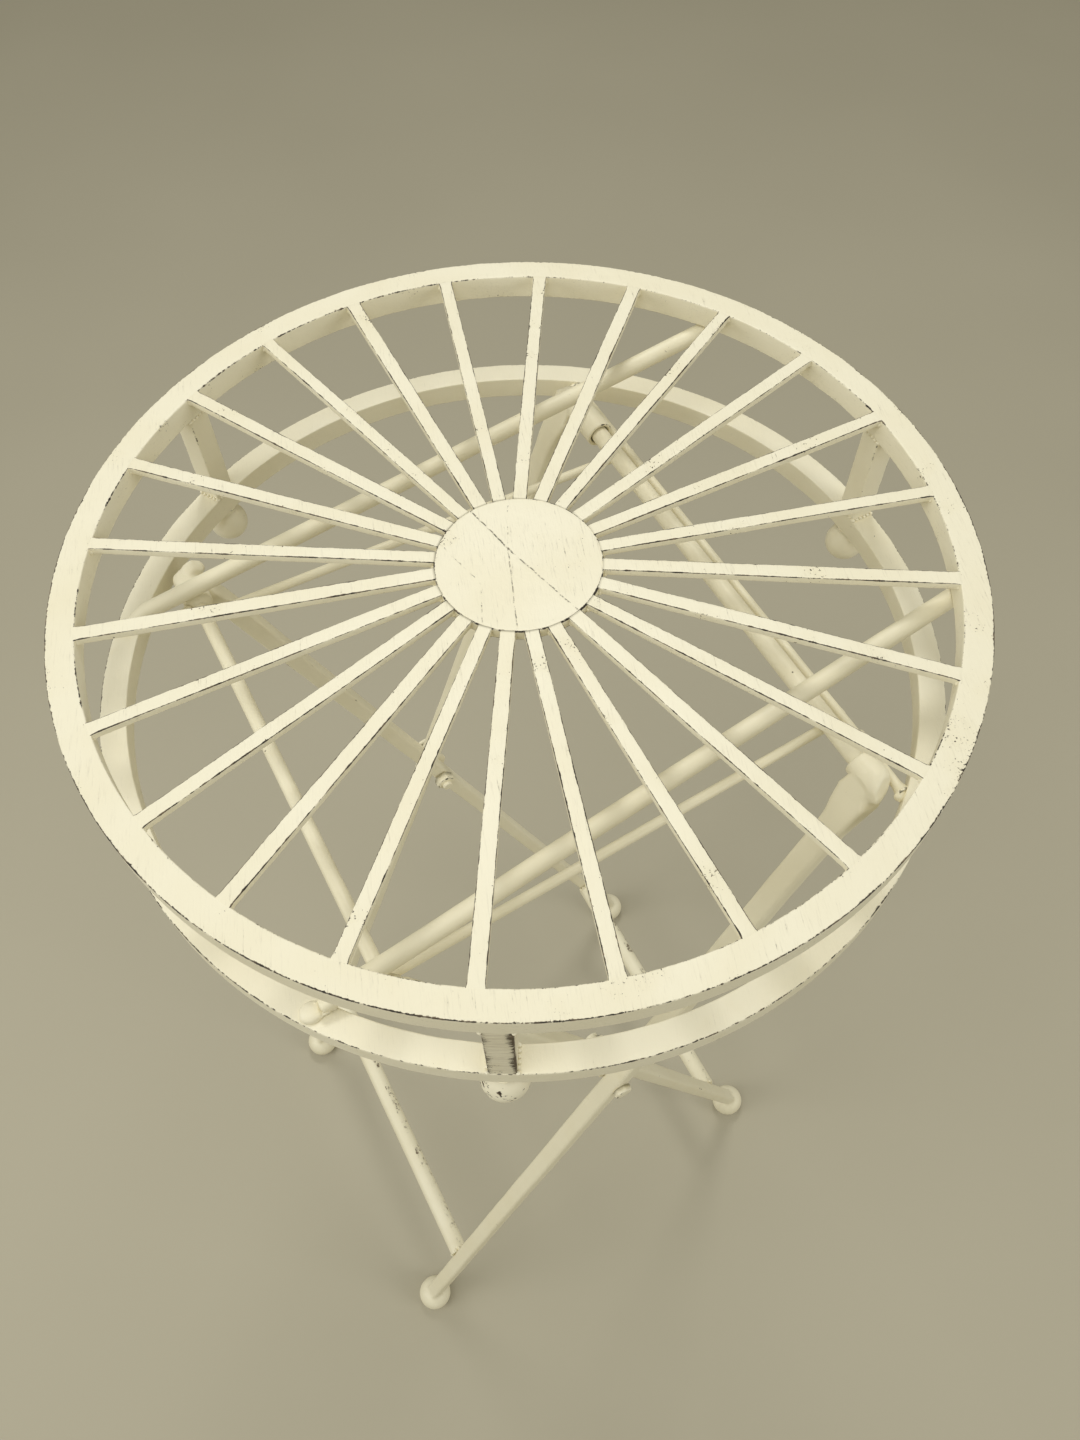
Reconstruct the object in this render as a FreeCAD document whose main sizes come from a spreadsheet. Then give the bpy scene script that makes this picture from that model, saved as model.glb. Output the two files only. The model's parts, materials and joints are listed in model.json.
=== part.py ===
import FreeCAD, Part
import math
import os
import Sketcher
from FreeCAD import Placement, Rotation, Vector

# Folding metal side table: a round drum top of two square-bar rings with a spoked
# wheel between hub and rim, on two crossing leg frames.
# The origin is on the floor under the middle of the drum, and +Z is up.
# The hinge rod and every pivot run along Y. Left is +Y and front is -X.
# The outer leg frame hangs from the hinge rod near the rear edge of the drum.
# The inner leg frame carries the front of the drum on its cross rod.

SIZES = (
    ("table_height", 684.0),
    ("top_radius", 160.0),
    ("ring_bar", 10.0),
    ("drum_gap", 44.6),
    ("spoke_turn", -2.0),
    ("spoke_shift_x", -0.9),
    ("spoke_shift_y", 1.6),
    ("spoke_count", 24),
    ("spoke_width", 4.2),
    ("spoke_depth", 3.4),
    ("hub_radius", 29.4),
    ("hub_depth", 5.0),
    ("post_rear_angle", -1.3),
    ("post_left_angle", 118.2),
    ("post_right_angle", 239.6),
    ("post_width", 9.6),
    ("post_neck_radius", 5.0),
    ("post_neck_height", 2.0),
    ("post_ball_radius", 8.2),
    ("post_ball_sink", 0.8),
    ("rail_rod_radius", 3.5),
    ("rail_left_front_set_in", 74.5),
    ("rail_left_rear_set_in", 79.0),
    ("rail_right_front_set_in", 68.2),
    ("rail_right_rear_set_in", 83.0),
    ("hinge_rod_radius", 3.75),
    ("hinge_rod_rise", 0.2),
    ("hinge_end_inset", 1.0),
    ("wire_radius", 2.0),
    ("brace_angle", 26.7),
    ("stay_splay", 7.5),
    ("stay_tip", 1.0),
    ("stay_hook_rise", 3.0),
    ("stay_bend_steps", 3),
    ("cross_rod_radius", 2.75),
    ("cross_rod_stub", 1.4),
    ("outer_eye_radius", 6.5),
    ("outer_eye_left_reach", 25.6),
    ("outer_eye_right_reach", 9.6),
    ("inner_eye_radius", 6.0),
    ("inner_eye_left_reach", 12.8),
    ("inner_eye_right_reach", 5.3),
    ("eye_ring_gap", 0.9),
    ("leg_width", 10.5),
    ("leg_depth", 8.4),
    ("leg_lift", 3.0),
    ("leg_wall", 1.2),
    ("outer_leg_set_in", 49.6),
    ("outer_flare_width", 16.2),
    ("leg_gap", 2.3),
    ("inner_flare_width", 12.8),
    ("flare_length", 24.0),
    ("flare_depth", 9.6),
    ("outer_foot_set_in", 8.84),
    ("inner_foot_set_in", 35.0),
    ("foot_radius", 12.0),
    ("foot_flat", 0.4),
    ("stretcher_height", 98.0),
    ("stretcher_radius", 6.0),
    ("bolt_radius", 3.0),
    ("bolt_head_radius", 5.8),
    ("bolt_head_height", 4.0),
    ("bolt_end", 2.5),
    ("nut_height", 5.0),
    ("washer_radius", 7.0),
    ("running_clearance", 0.08),
    ("part_clearance", 0.3),
    ("seat_gap", 0.05),
)

X_AXIS = Vector(1, 0, 0)
Y_AXIS = Vector(0, 1, 0)
Z_AXIS = Vector(0, 0, 1)
FULL_TURN = 360.0
QUARTER_TURN = 90.0
HEX_SIDES = 6

doc = FreeCAD.newDocument("SideTable")
sheet = doc.addObject("Spreadsheet::Sheet", "Sizes")
for row, (alias, value) in enumerate(SIZES, start=1):
    sheet.set("A%d" % row, alias)
    sheet.set("B%d" % row, str(value))
    sheet.setAlias("B%d" % row, alias)
doc.recompute()

parts = []


def size(alias):
    """The value of one named size."""
    return float(sheet.get(alias))


def sized(text):
    """An expression in which every named size points at the sheet."""
    words = []
    for word in text.split():
        words.append("Sizes." + word if word[0].isalpha() else word)
    return " ".join(words)


def bind(feature, **expressions):
    """Bind properties of a feature to sums of named sizes."""
    for name, text in expressions.items():
        feature.setExpression(name, sized(text))
    return feature


def place(feature, base, rotation=Rotation()):
    feature.Placement = Placement(base, rotation)
    return feature


def finish(feature, label):
    """Name a finished sub-part and keep it for export."""
    feature.Label = label
    parts.append(feature)
    return feature


def box(name, length, width, height):
    return bind(doc.addObject("Part::Box", name), Length=length, Width=width, Height=height)


def cylinder(name, radius, height):
    return bind(doc.addObject("Part::Cylinder", name), Radius=radius, Height=height)


def ball(name, radius):
    return bind(doc.addObject("Part::Sphere", name), Radius=radius)


def rod(name, radius, length):
    """A cylinder of a named radius whose length is worked out."""
    piece = doc.addObject("Part::Cylinder", name)
    piece.Height = length
    return bind(piece, Radius=radius)


def bar(name, depth, width, length):
    """A flat-sided bar of a named section whose length is worked out."""
    piece = doc.addObject("Part::Box", name)
    piece.Height = length
    return bind(piece, Length=depth, Width=width)


def cut(name, base, tool):
    feature = doc.addObject("Part::Cut", name)
    feature.Base = base
    feature.Tool = tool
    return feature


def common(name, base, tool):
    feature = doc.addObject("Part::Common", name)
    feature.Base = base
    feature.Tool = tool
    return feature


def fuse(name, shapes):
    feature = doc.addObject("Part::MultiFuse", name)
    feature.Shapes = shapes
    return feature


def group(name, shapes):
    feature = doc.addObject("Part::Compound", name)
    feature.Links = shapes
    return feature


def along(direction):
    """The rotation that turns a cylinder's own axis to a direction."""
    return Rotation(Z_AXIS, direction)


def turned(angle):
    return Rotation(Z_AXIS, angle)


def polar(radius, angle, height):
    across = math.radians(angle)
    return Vector(radius * math.cos(across), radius * math.sin(across), height)


# Heights and radii that several pieces share.
TABLE_HEIGHT = size("table_height")
RIM = size("top_radius")
RING_BAR = size("ring_bar")
RING_INNER = RIM - RING_BAR
RING_MIDDLE = RIM - RING_BAR / 2
TOP_RING_BOTTOM = TABLE_HEIGHT - RING_BAR
LOWER_RING_TOP = TOP_RING_BOTTOM - size("drum_gap")
LOWER_RING_BOTTOM = LOWER_RING_TOP - RING_BAR
RAIL_SEAT = size("rail_rod_radius") + size("seat_gap")
OUTER_LEG_Y = RIM - size("outer_leg_set_in")
INNER_LEG_Y = OUTER_LEG_Y - size("leg_width") - size("leg_gap")
OUTER_EYE_END = OUTER_LEG_Y + size("outer_flare_width") / 2
INNER_EYE_END = INNER_LEG_Y + size("inner_flare_width") / 2


def eye_place(end, radius):
    """How far an eye's axis is from the middle, with its outer end just inside the lower ring."""
    return math.sqrt((RING_INNER - size("eye_ring_gap")) ** 2 - end ** 2) - radius


HINGE_X = eye_place(OUTER_EYE_END, size("outer_eye_radius"))
HINGE = Vector(HINGE_X, 0, LOWER_RING_TOP + size("hinge_rod_rise"))


def rail_ends(name, side):
    """The two ends of a rail: on the lower ring in front, under the top ring behind."""
    front = RIM - size("rail_%s_front_set_in" % name)
    rear = RIM - size("rail_%s_rear_set_in" % name)
    low = Vector(-math.sqrt(RING_MIDDLE ** 2 - front ** 2), side * front, LOWER_RING_TOP + RAIL_SEAT)
    high = Vector(math.sqrt(RING_MIDDLE ** 2 - rear ** 2), side * rear, TOP_RING_BOTTOM - RAIL_SEAT)
    return low, high


def rail_underside(ends, x):
    low, high = ends
    run = high - low
    height = low.z + (x - low.x) * run.z / run.x
    return height - size("rail_rod_radius") * run.Length / math.hypot(run.x, run.y)


LEFT_RAIL = rail_ends("left", 1)
RIGHT_RAIL = rail_ends("right", -1)
CROSS_X = -eye_place(INNER_EYE_END, size("inner_eye_radius"))
LOWEST_RAIL = min(rail_underside(LEFT_RAIL, CROSS_X), rail_underside(RIGHT_RAIL, CROSS_X))
CROSS_Z = LOWEST_RAIL - size("part_clearance") - size("inner_eye_radius")
CROSS = Vector(CROSS_X, 0, CROSS_Z)

FOOT_Z = size("foot_radius") - size("foot_flat")
OUTER_FOOT = Vector(size("outer_foot_set_in") - RIM, 0, FOOT_Z)
INNER_FOOT = Vector(RIM - size("inner_foot_set_in"), 0, FOOT_Z)


def lift(top, foot):
    """The step from the line of eye and foot to a leg's own middle, on its upper side."""
    run = foot - top
    upper = Vector(-run.z, 0, run.x) if run.x > 0 else Vector(run.z, 0, -run.x)
    return upper * (size("leg_lift") / run.Length)


def crossing():
    """Where the middles of the outer and inner legs cross, seen along Y."""
    outer = OUTER_FOOT - HINGE
    inner = INNER_FOOT - CROSS
    start = HINGE + lift(HINGE, OUTER_FOOT)
    between = CROSS + lift(CROSS, INNER_FOOT) - start
    area = outer.x * inner.z - outer.z * inner.x
    along_outer = (between.x * inner.z - between.z * inner.x) / area
    return start + outer * along_outer


PIVOT = crossing()


def square_ring(label, bottom):
    """A ring of square bar, turned about the table's middle."""
    body = doc.addObject("PartDesign::Body", label)
    sketch = body.newObject("Sketcher::SketchObject", label + "_section")
    planes = {feature.Role: feature for feature in body.Origin.OriginFeatures}
    sketch.AttachmentSupport = (planes["XZ_Plane"], "")
    sketch.MapMode = "FlatFace"
    inner = RING_INNER
    outer = inner + RING_BAR
    corners = (Vector(inner, 0, 0), Vector(outer, 0, 0),
               Vector(outer, RING_BAR, 0), Vector(inner, RING_BAR, 0))
    for corner, following in zip(corners, corners[1:] + corners[:1]):
        sketch.addGeometry(Part.LineSegment(corner, following), False)
    for side in range(4):
        sketch.addConstraint(Sketcher.Constraint("Coincident", side, 2, (side + 1) % 4, 1))
    for side, way in enumerate(("Horizontal", "Vertical", "Horizontal", "Vertical")):
        sketch.addConstraint(Sketcher.Constraint(way, side))
    sketch.addConstraint(Sketcher.Constraint("PointOnObject", 0, 1, -1))
    limits = (("inner", "DistanceX", inner, "top_radius - ring_bar", (-1, 1, 0, 1)),
              ("across", "DistanceX", RING_BAR, "ring_bar", (0, 1, 0, 2)),
              ("height", "DistanceY", RING_BAR, "ring_bar", (1, 1, 1, 2)))
    for name, way, value, text, ends in limits:
        index = sketch.addConstraint(Sketcher.Constraint(way, *ends, value))
        sketch.renameConstraint(index, name)
        sketch.setExpression("Constraints." + name, sized(text))
    ring = body.newObject("PartDesign::Revolution", label + "_turn")
    ring.Profile = sketch
    ring.ReferenceAxis = (sketch, ["V_Axis"])
    ring.Angle = FULL_TURN
    place(body, Vector(0, 0, bottom))
    return finish(body, label)


def hub_disc():
    """The flat disc that the spokes meet."""
    body = doc.addObject("PartDesign::Body", "hub_disc")
    sketch = body.newObject("Sketcher::SketchObject", "hub_outline")
    planes = {feature.Role: feature for feature in body.Origin.OriginFeatures}
    sketch.AttachmentSupport = (planes["XY_Plane"], "")
    sketch.MapMode = "FlatFace"
    sketch.addGeometry(Part.Circle(Vector(), Z_AXIS, size("hub_radius")), False)
    sketch.addConstraint(Sketcher.Constraint("Coincident", 0, 3, -1, 1))
    index = sketch.addConstraint(Sketcher.Constraint("Radius", 0, size("hub_radius")))
    sketch.renameConstraint(index, "hub")
    sketch.setExpression("Constraints.hub", sized("hub_radius"))
    pad = body.newObject("PartDesign::Pad", "hub_plate")
    pad.Profile = sketch
    bind(pad, Length="hub_depth")
    place(body, Vector(0, 0, TABLE_HEIGHT - size("hub_depth")))
    finish(body, "hub_disc")


def spokes():
    """Flat bars from the hub to the top ring, flush with both and centred just off them."""
    zone = cut("spoke_zone",
               cylinder("spoke_reach", "top_radius - ring_bar", "spoke_depth"),
               cylinder("spoke_hub", "hub_radius", "spoke_depth"))
    place(zone, Vector(0, 0, TABLE_HEIGHT - size("spoke_depth")))
    doc.recompute()
    centre = Vector(size("spoke_shift_x"), size("spoke_shift_y"), TABLE_HEIGHT - size("spoke_depth"))
    count = int(size("spoke_count"))
    for index in range(count):
        rotation = turned(size("spoke_turn") + FULL_TURN * index / count)
        blank = box("spoke_bar_%02d" % index, "top_radius", "spoke_width", "spoke_depth")
        place(blank, centre + rotation.multVec(Vector(0, -size("spoke_width") / 2, 0)), rotation)
        finish(common("spoke_%02d" % (index + 1), blank, zone), "spoke_%02d" % (index + 1))


def posts():
    """Square posts that hold the rings apart, each over a necked ball under the lower ring."""
    corner = Vector(-size("post_width") / 2, -size("post_width") / 2, 0)
    drop = size("post_neck_height") + size("post_ball_radius") - size("post_ball_sink")
    balls = []
    for name in ("rear", "left", "right"):
        angle = size("post_%s_angle" % name)
        post = box("post_" + name, "post_width", "post_width", "drum_gap")
        place(post, polar(RING_MIDDLE, angle, LOWER_RING_TOP) + turned(angle).multVec(corner), turned(angle))
        finish(post, "post_" + name)
        centre = polar(RING_MIDDLE, angle, LOWER_RING_BOTTOM - drop)
        whole = place(ball("post_ball_whole_" + name, "post_ball_radius"), centre)
        neck = place(rod("post_neck_" + name, "post_neck_radius", drop), centre)
        balls.append(fuse("post_ball_" + name, [whole, neck]))
    finish(group("post_balls", balls), "post_balls")


def rail(label, ends):
    """A round rod that slopes up through the drum, over the inner leg frame."""
    low, high = ends
    finish(place(rod(label, "rail_rod_radius", (high - low).Length), low, along(high - low)), label)


def brace_centre():
    """The brace wire passes just clear of the outer eyes."""
    distance = size("outer_eye_radius") + size("part_clearance") + size("wire_radius")
    angle = math.radians(size("brace_angle"))
    return HINGE + Vector(distance * math.cos(angle), 0, -distance * math.sin(angle))


BRACE = brace_centre()


def hinge_rod():
    """The rod that the drum swings on. Its ends turn in the eyes of the outer legs."""
    reach = OUTER_EYE_END - size("hinge_end_inset")
    whole = rod("hinge_rod", "hinge_rod_radius", reach * 2)
    finish(place(whole, HINGE - Y_AXIS * reach, along(Y_AXIS)), "hinge_rod")


def brace_wire():
    """A wire beside the hinge rod, welded to the lower ring's inner wall at both ends."""
    wire = cylinder("brace_rod", "wire_radius", "top_radius * 2")
    place(wire, BRACE - Y_AXIS * size("top_radius"), along(Y_AXIS))
    inside = cylinder("brace_zone", "top_radius - ring_bar", "ring_bar * 2")
    place(inside, Vector(0, 0, LOWER_RING_BOTTOM - RING_BAR / 2))
    finish(common("brace_wire", wire, inside), "brace_wire")


def stay(label, inside, side):
    """A wire under the hinge rod and the cross rod, turned up in front of the cross rod.

    It passes just inside the inner leg and its eye. Its own frame has the cross
    rod's axis as origin and the straight part along X.
    """
    front = inside - size("part_clearance") - size("wire_radius")
    steps = int(size("stay_bend_steps"))
    clear = size("cross_rod_radius") + size("part_clearance") + size("wire_radius")
    bend = clear / math.cos(math.radians(QUARTER_TURN / steps / 2))
    below_hinge = size("hinge_rod_radius") + size("seat_gap") + size("wire_radius")
    run = HINGE - CROSS
    pitch = math.atan2(run.z, run.x) - math.asin((below_hinge - bend) / run.Length)
    yaw = -side * math.atan2(size("stay_splay"), run.x)
    turns = [QUARTER_TURN * step / steps for step in range(steps + 1)]
    stations = [(Vector(BRACE.x - CROSS.x + size("stay_tip"), 0, -bend), 0)]
    for turn in turns:
        across = math.radians(turn)
        stations.append((Vector(-math.sin(across), 0, -math.cos(across)) * bend, turn))
    stations.append((Vector(-bend, 0, size("stay_hook_rise")), QUARTER_TURN))
    rings = []
    for number, (centre, turn) in enumerate(stations):
        ring = bind(doc.addObject("Part::Circle", "%s_ring_%d" % (label, number)), Radius="wire_radius")
        rings.append(place(ring, centre, Rotation(Y_AXIS, turn - QUARTER_TURN)))
    wire = doc.addObject("Part::Loft", label + "_wire")
    wire.Sections = rings
    wire.Solid = True
    wire.Ruled = True
    tilt = Rotation(Z_AXIS, math.degrees(yaw)) * Rotation(Y_AXIS, -math.degrees(pitch))
    place(wire, CROSS + Y_AXIS * side * front, tilt)
    notch = cylinder(label + "_notch", "wire_radius", "top_radius * 2")
    place(notch, BRACE - Y_AXIS * size("top_radius"), along(Y_AXIS))
    finish(cut(label, wire, notch), label)


def eye(label, radius, bore, mouth, end, centre, side):
    """A short tube across the top of a leg."""
    outer = rod(label + "_tube", radius, end - mouth)
    hole = rod(label + "_hole", bore, end - mouth)
    return place(cut(label, outer, hole), centre + Y_AXIS * side * mouth, along(Y_AXIS * side))


def ball_foot(label, centre):
    """The ball at the end of a leg, with the small flat that it stands on."""
    reach = size("foot_radius")
    whole = place(ball(label + "_ball", "foot_radius"), centre)
    floor = box(label + "_floor", "foot_radius * 2", "foot_radius * 2", "foot_radius")
    place(floor, Vector(centre.x - reach, centre.y - reach, -reach))
    return cut(label + "_foot", whole, floor)


def leg(label, top, foot, y, eye_radius, flare_width, hole):
    """A tube, spread and coped to its eye at the top, with a ball foot worn flat.

    Its own frame has the eye's axis as origin and the line to the foot along -Z.
    """
    run = foot - top
    length = run.Length
    side = "+" if run.x > 0 else "-"
    middle = math.copysign(size("leg_lift"), run.x)
    corner = Vector(middle - size("leg_depth") / 2, -size("leg_width") / 2, -length)
    wall = size("leg_wall")
    flare_length = size("flare_length")
    tube = bar(label + "_tube", "leg_depth", "leg_width", length - flare_length)
    place(tube, corner)
    flare = doc.addObject("Part::Wedge", label + "_flare")
    bind(flare, Xmin="leg_depth * -0.5 %s leg_lift" % side, Xmax="leg_depth * 0.5 %s leg_lift" % side,
         Zmin="leg_width * -0.5", Zmax="leg_width * 0.5",
         X2min="flare_depth * -0.5", X2max="flare_depth * 0.5",
         Z2min=flare_width + " * -0.5", Z2max=flare_width + " * 0.5", Ymax="flare_length")
    flare.Ymin = 0
    place(flare, Vector(0, 0, -flare_length), Rotation(X_AXIS, QUARTER_TURN))
    hollow = bar(label + "_hollow", "leg_depth - leg_wall * 2", "leg_width - leg_wall * 2",
                 length - flare_length)
    place(hollow, corner + Vector(wall, wall, 0))
    across = size("leg_width") + size("outer_flare_width")
    seat = cylinder(label + "_eye_seat", eye_radius, "leg_width + outer_flare_width")
    place(seat, Vector(0, -across / 2, 0), along(Y_AXIS))
    pivot_hole = cylinder(label + "_pivot_hole", hole, "leg_width + outer_flare_width")
    place(pivot_hole, Vector(middle, -across / 2, -(PIVOT - top).dot(run) / length), along(Y_AXIS))
    solid = fuse(label + "_solid", [tube, flare])
    tools = fuse(label + "_tools", [hollow, seat, pivot_hole])
    lean = math.degrees(math.atan2(-run.x, -run.z))
    shaft = cut(label + "_shaft", solid, tools)
    place(shaft, top + Y_AXIS * y, Rotation(Y_AXIS, lean))
    finish(fuse(label, [shaft, ball_foot(label, foot + Y_AXIS * y)]), label)


def stretcher(label, top, foot, y):
    """A round bar between the inner faces of one leg frame."""
    share = (top.z - size("stretcher_height")) / (top.z - foot.z)
    centre = top + (foot - top) * share + lift(top, foot)
    face = y - size("leg_width") / 2
    whole = rod(label, "stretcher_radius", face * 2)
    finish(place(whole, centre - Y_AXIS * face, along(Y_AXIS)), label)


def cross_rod():
    """The rod between the inner eyes, standing a little out of both."""
    reach = INNER_EYE_END + size("cross_rod_stub")
    whole = rod("cross_rod", "cross_rod_radius", reach * 2)
    finish(place(whole, CROSS - Y_AXIS * reach, along(Y_AXIS)), "cross_rod")


def hexagon(name, height):
    prism = doc.addObject("Part::Prism", name)
    prism.Polygon = HEX_SIDES
    return bind(prism, Circumradius="bolt_head_radius", Height=height)


def pivot_fasteners():
    """On each side, a bolt through both legs, a washer between them and a nut inside."""
    outer_face = OUTER_LEG_Y + size("leg_width") / 2
    outer_back = OUTER_LEG_Y - size("leg_width") / 2
    inner_back = INNER_LEG_Y - size("leg_width") / 2
    nut_face = inner_back - size("part_clearance")
    nut_back = nut_face - size("nut_height")
    bolts, nuts, washers = [], [], []
    for side in (1, -1):
        name = "left" if side > 0 else "right"
        inward = along(Y_AXIS * -side)
        head = hexagon("bolt_head_" + name, "bolt_head_height")
        place(head, PIVOT + Y_AXIS * side * (outer_face + size("bolt_head_height")), inward)
        shank = rod("bolt_shank_" + name, "bolt_radius", outer_face - nut_back + size("bolt_end"))
        place(shank, PIVOT + Y_AXIS * side * outer_face, inward)
        bolts.append(fuse("bolt_" + name, [head, shank]))
        nut_hole = cylinder("nut_hole_" + name, "bolt_radius", "nut_height")
        nut = cut("nut_" + name, hexagon("nut_blank_" + name, "nut_height"), nut_hole)
        place(nut, PIVOT + Y_AXIS * side * nut_face, inward)
        nuts.append(nut)
        washer_hole = cylinder("washer_hole_" + name, "bolt_radius", "leg_gap - part_clearance")
        blank = cylinder("washer_blank_" + name, "washer_radius", "leg_gap - part_clearance")
        washer = cut("washer_" + name, blank, washer_hole)
        place(washer, PIVOT + Y_AXIS * side * outer_back, inward)
        washers.append(washer)
    finish(group("pivot_bolts", bolts), "pivot_bolts")
    finish(group("pivot_nuts", nuts), "pivot_nuts")
    finish(group("pivot_washers", washers), "pivot_washers")


def drum():
    square_ring("top_ring", TOP_RING_BOTTOM)
    square_ring("lower_ring", LOWER_RING_BOTTOM)
    hub_disc()
    spokes()
    posts()
    rail("rail_left", LEFT_RAIL)
    rail("rail_right", RIGHT_RAIL)
    hinge_rod()
    brace_wire()
    for name, side in (("left", 1), ("right", -1)):
        reach = max(size("inner_eye_%s_reach" % name), size("inner_flare_width") / 2)
        stay("stay_" + name, INNER_LEG_Y - reach, side)


def outer_frame():
    bore = "hinge_rod_radius + running_clearance"
    eyes = []
    for name, side in (("left", 1), ("right", -1)):
        mouth = OUTER_LEG_Y - size("outer_eye_%s_reach" % name)
        eyes.append(eye("outer_eye_" + name, "outer_eye_radius", bore, mouth, OUTER_EYE_END, HINGE, side))
        leg("outer_leg_" + name, HINGE, OUTER_FOOT, side * OUTER_LEG_Y,
            "outer_eye_radius", "outer_flare_width", "bolt_radius")
    finish(group("outer_eyes", eyes), "outer_eyes")
    stretcher("outer_stretcher", HINGE, OUTER_FOOT, OUTER_LEG_Y)


def inner_frame():
    bore = "cross_rod_radius + running_clearance"
    eyes = []
    for name, side in (("left", 1), ("right", -1)):
        mouth = INNER_LEG_Y - size("inner_eye_%s_reach" % name)
        eyes.append(eye("inner_eye_" + name, "inner_eye_radius", bore, mouth, INNER_EYE_END, CROSS, side))
        leg("inner_leg_" + name, CROSS, INNER_FOOT, side * INNER_LEG_Y,
            "inner_eye_radius", "inner_flare_width", "bolt_radius + running_clearance")
    finish(group("inner_eyes", eyes), "inner_eyes")
    stretcher("inner_stretcher", CROSS, INNER_FOOT, INNER_LEG_Y)
    cross_rod()


def check():
    """Stop before anything is written if a feature failed or a sub-part is unsound."""
    for feature in doc.Objects:
        bad = [state for state in feature.State if state in ("Invalid", "Error")]
        if bad:
            raise RuntimeError("%s is %s" % (feature.Label, bad))
    for feature in parts:
        if feature.Shape.isNull() or not feature.Shape.isValid() or not feature.Shape.Solids:
            raise RuntimeError("%s has no sound solid" % feature.Label)


def export():
    os.makedirs("parts", exist_ok=True)
    for feature in parts:
        feature.Shape.exportStep("parts/%s.step" % feature.Label)
        made = feature.Shape
        print("%-20s %d solid(s) %10.1f mm3" % (feature.Label, len(made.Solids), made.Volume))


drum()
outer_frame()
inner_frame()
pivot_fasteners()
doc.recompute()
check()
export()
print("hinge axis  ", HINGE)
print("cross rod   ", CROSS)
print("leg pivot   ", PIVOT)
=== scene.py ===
import json
import math

import bmesh
import bpy
from mathutils import Matrix, Vector, noise


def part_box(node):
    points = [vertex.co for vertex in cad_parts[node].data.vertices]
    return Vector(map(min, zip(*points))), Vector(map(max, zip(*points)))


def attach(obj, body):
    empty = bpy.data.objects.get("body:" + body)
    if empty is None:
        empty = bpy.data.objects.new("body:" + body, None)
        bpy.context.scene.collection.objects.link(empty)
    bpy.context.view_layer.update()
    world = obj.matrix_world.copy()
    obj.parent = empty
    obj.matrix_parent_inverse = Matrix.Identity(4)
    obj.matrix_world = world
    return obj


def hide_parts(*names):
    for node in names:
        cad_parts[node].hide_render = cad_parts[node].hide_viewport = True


# A round folding metal side table in worn, brushed cream paint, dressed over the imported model.
# Its pieces are built in millimetres, in the model's frame, and become metres when a mesh is made.
# The camera, the lamps and the floor are placed in metres.
# Every point has a wear, from 0 on a flat face to about 1 on a worn edge, which the paint reads.

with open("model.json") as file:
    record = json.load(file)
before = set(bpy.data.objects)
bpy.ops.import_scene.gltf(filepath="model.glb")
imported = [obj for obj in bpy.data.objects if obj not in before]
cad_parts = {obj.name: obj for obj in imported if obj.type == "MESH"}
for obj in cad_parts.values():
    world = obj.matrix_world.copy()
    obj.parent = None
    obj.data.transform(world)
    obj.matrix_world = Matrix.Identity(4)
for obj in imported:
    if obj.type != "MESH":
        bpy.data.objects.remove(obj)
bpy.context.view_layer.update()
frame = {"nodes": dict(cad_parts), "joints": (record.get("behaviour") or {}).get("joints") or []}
MM = 0.001
X, Y, Z = Vector((1, 0, 0)), Vector((0, 1, 0)), Vector((0, 0, 1))


def corners(node):
    """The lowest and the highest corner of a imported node, in millimetres."""
    return [[round(c / MM, 2) for c in corner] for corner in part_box(node)]


def middle_of(node):
    """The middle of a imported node's box, in millimetres."""
    low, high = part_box(node)
    return [round(c / MM, 2) for c in (low + high) / 2]


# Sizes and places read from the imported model

(_, _, UPPER_BOTTOM), (RIM, _, TOP) = corners("top_ring")
(_, _, LOWER_BOTTOM), (_, _, LOWER_TOP) = corners("lower_ring")
(_, _, HUB_BOTTOM), (HUB, _, _) = corners("hub_disc")
BAR = TOP - UPPER_BOTTOM
RING_MIDDLE = RIM - BAR / 2
RING_INNER = RIM - BAR
HINGE = Vector(middle_of("hinge_rod"))
CROSS = Vector(middle_of("cross_rod"))
BRACE_X, _, BRACE_Z = middle_of("brace_wire")
OUTER_Y = middle_of("outer_leg_left")[1]
INNER_Y = middle_of("inner_leg_left")[1]
PIVOT = next(Vector([round(c / MM, 3) for c in joint["pos_m"]])
             for joint in frame["joints"] if joint["name"] == "leg_fold")

# Sizes of the dressed pieces

SPOKES = 24
SPOKE_TURN = -2.0
SPOKE_CENTRE = Vector((-0.9, 1.6, 0))
SPOKE_WIDTH, SPOKE_DEPTH = 5.2, 3.0

POST_ANGLES = {"rear": -1.3, "left": 118.2, "right": 239.6}
FRONT_POST = "right"
POST = 9.5
BALL, FRONT_BALL = 8.2, 8.8
BALL_NECK = 1.2

RAIL_RADIUS = 3.5
HINGE_ROD_RADIUS, HINGE_ROD_REACH = 3.75, 111.4
CROSS_ROD_RADIUS, CROSS_ROD_REACH = 2.75, 101.4
WIRE_RADIUS = 2.0
STAY_LENGTH = 192.6
STAY_BEND = 5.12
STAY_TOE_IN = 7.5
# How far from the middle a rail's front and rear ends and a stay's front end are, and their side
RAIL_ENDS = (("left", 85.5, 81.0, 1), ("right", 91.8, 77.0, -1))
STAY_FRONTS = (("left", 82.5, 1), ("right", 88.9, -1))

OUTER_FOOT = Vector((-151.16, 0, 11.6))
INNER_FOOT = Vector((125.0, 0, 11.6))
FOOT_RADIUS = 12.0
LEG_LIFT = 3.0
LEG_DEPTH, LEG_WIDTH = 8.4, 10.5
LEG_VOXEL = 0.85
UPPER_REAR = Vector((0.75, 0, 0.66))
# Where the barrels in the eyes start and end along Y
OUTER_EYE_SPANS = ((84.8, 111.6), (-100.8, -111.6))
INNER_EYE_SPANS = ((84.8, 100.6), (-92.3, -100.6))
STRETCHER_RADIUS, STRETCHER_HEIGHT = 6.0, 98.0

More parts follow.
